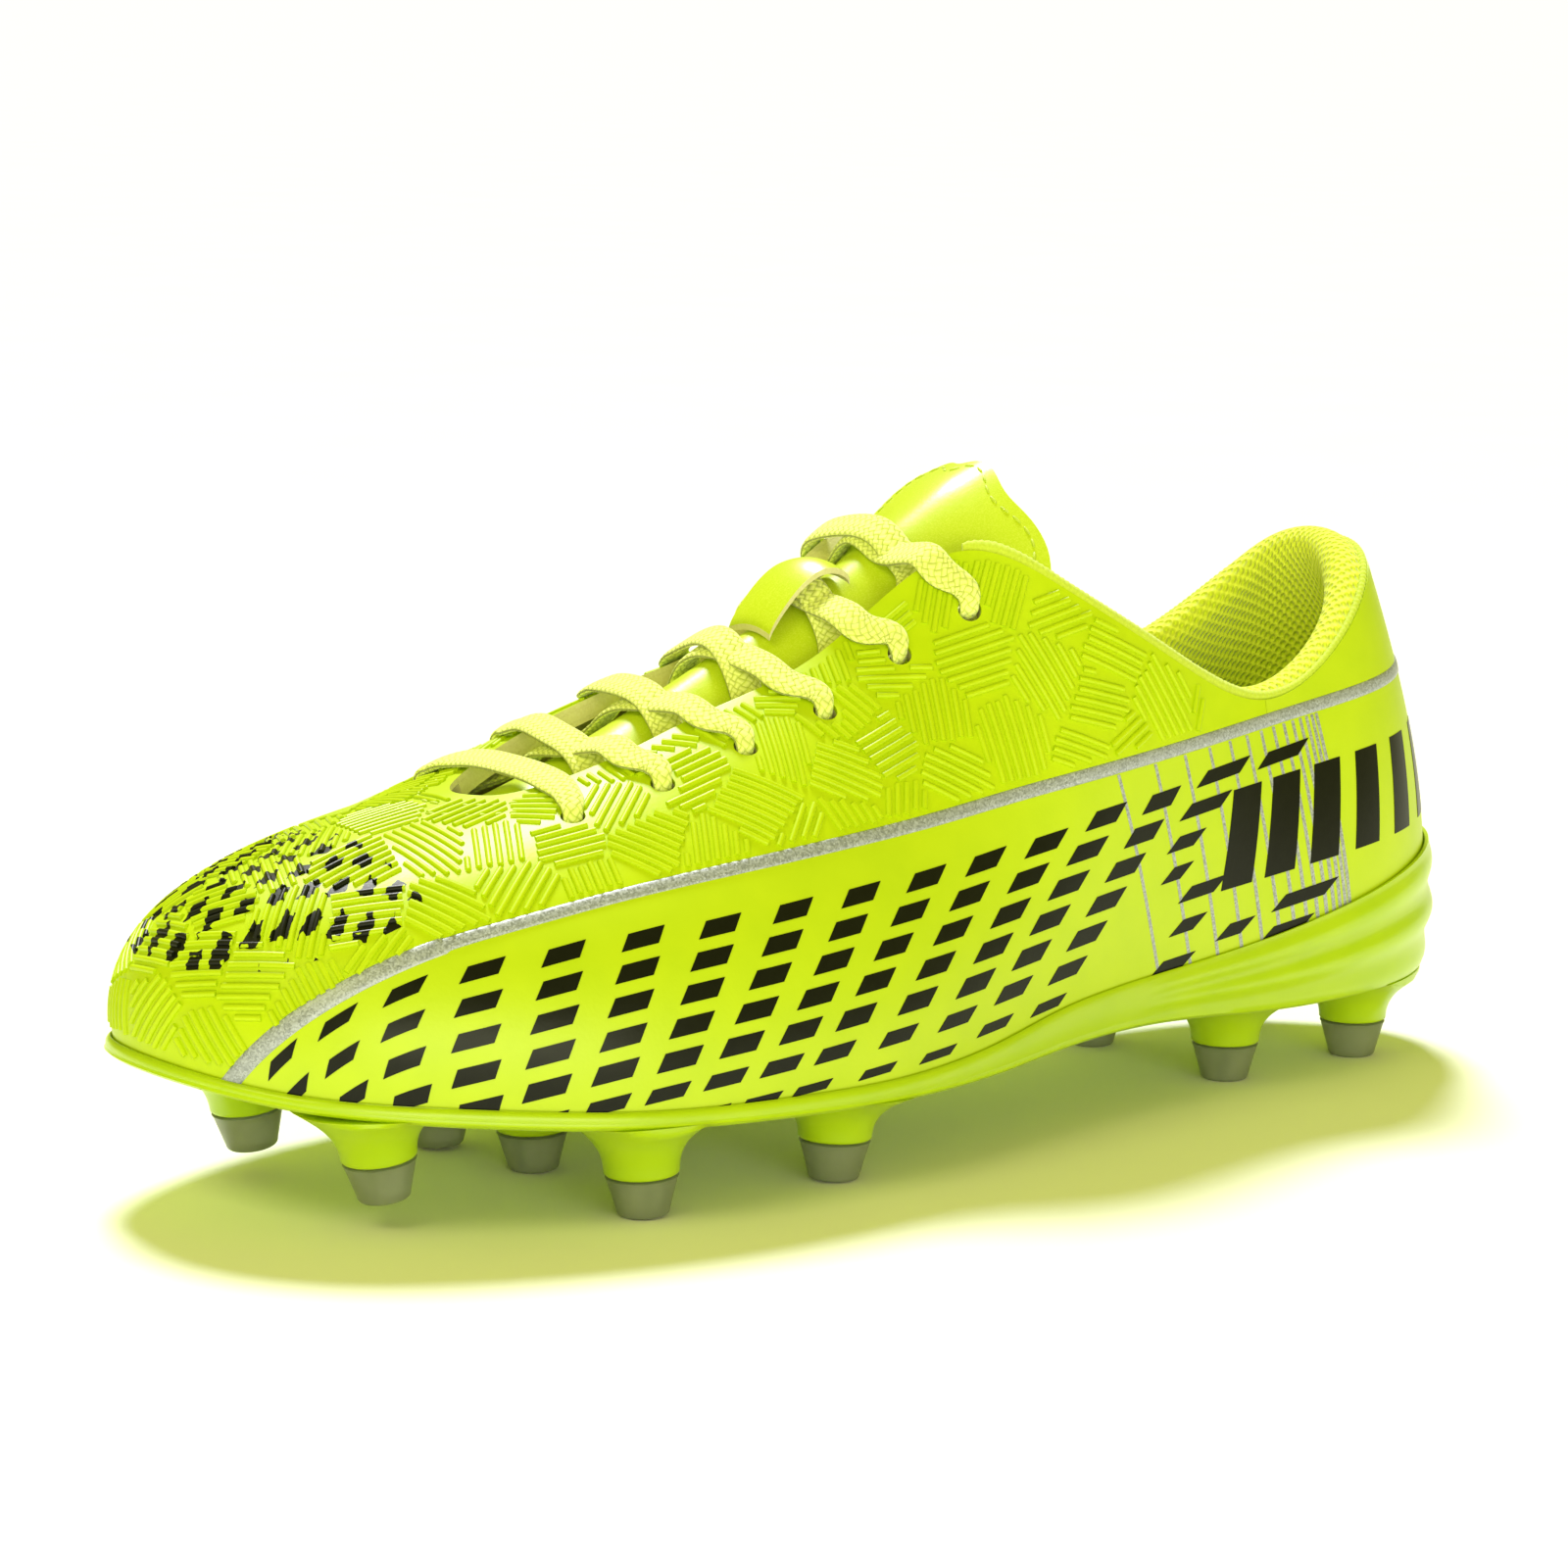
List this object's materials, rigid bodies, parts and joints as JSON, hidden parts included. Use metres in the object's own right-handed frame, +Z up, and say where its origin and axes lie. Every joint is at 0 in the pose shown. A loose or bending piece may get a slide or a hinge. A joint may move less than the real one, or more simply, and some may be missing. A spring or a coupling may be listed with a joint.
{
  "type": "soccer cleat",
  "caption": "Low-cut laced firm-ground soccer cleat, left shoe, with an embossed neon upper, a moulded sole plate and translucent conical studs.",
  "frame": {"origin": "on the ground under the middle of the shoe's bounding box", "axes": "+X from the toe to the heel, +Y towards the medial (inner) side, +Z up"},
  "size_m": [0.2825, 0.103, 0.119],
  "materials": {
    "coated_knit": "glossy film over knit, neon yellow-green",
    "tongue_film": "glossy film with a fine sparkle, neon yellow-green",
    "rib_binding": "ribbed knit, matte",
    "mesh_lining": "dimpled knit mesh, matte",
    "lace_braid": "flat tubular braid, matte",
    "clear_film": "clear wound film, glossy",
    "foam": "open-cell foam, matte",
    "sockliner_foam": "cloth-faced foam, matte",
    "board": "stiff fibre board, matte",
    "sole_tpu": "moulded neon plastic, satin gloss",
    "smoked_tpu": "smoked grey-green translucent plastic, satin"
  },
  "bodies": {
    "shoe": {"outsole_plate": "sole_tpu", "stud_tip_toe_medial": "smoked_tpu", "stud_tip_toe_lateral": "smoked_tpu", "stud_tip_ball_medial": "smoked_tpu", "stud_tip_ball_centre": "smoked_tpu", "stud_tip_ball_lateral": "smoked_tpu", "stud_tip_waist_lateral": "smoked_tpu", "stud_tip_waist_medial": "smoked_tpu", "stud_tip_heel_front_lateral": "smoked_tpu", "stud_tip_heel_front_medial": "smoked_tpu", "stud_tip_heel_rear_lateral": "smoked_tpu", "stud_tip_heel_rear_medial": "smoked_tpu", "vamp_embossed": "coated_knit", "side_panel_lateral": "coated_knit", "side_panel_medial": "coated_knit", "heel_upper": "coated_knit", "collar_binding": "rib_binding", "lasting_board": "board", "toe_puff": "board", "heel_counter": "board", "collar_padding": "foam", "collar_lining": "mesh_lining", "vamp_lining": "mesh_lining", "eyestay_lateral": "board", "eyestay_medial": "board", "tongue": "tongue_film", "tongue_pad": "foam", "lace_keeper": "tongue_film", "lace": "lace_braid", "aglet_medial": "clear_film", "aglet_lateral": "clear_film"},
    "tongue_flap": {"tongue_flap": "tongue_film", "tongue_flap_pad": "foam"},
    "sockliner": {"sockliner": "sockliner_foam"}
  },
  "joints": [
    {"name": "tongue_fold", "type": "hinge", "parent": "shoe", "child": "tongue_flap", "pos_m": [0.0213, 0.0045, 0.1113], "axis": [0, -1, 0], "range_deg": [0, 40], "stiffness_Nm_per_rad": 0.004},
    {"name": "sockliner_lift", "type": "hinge", "parent": "shoe", "child": "sockliner", "pos_m": [-0.1335, 0.003, 0.0325], "axis": [0, -1, 0], "range_deg": [0, 5]}
  ]
}
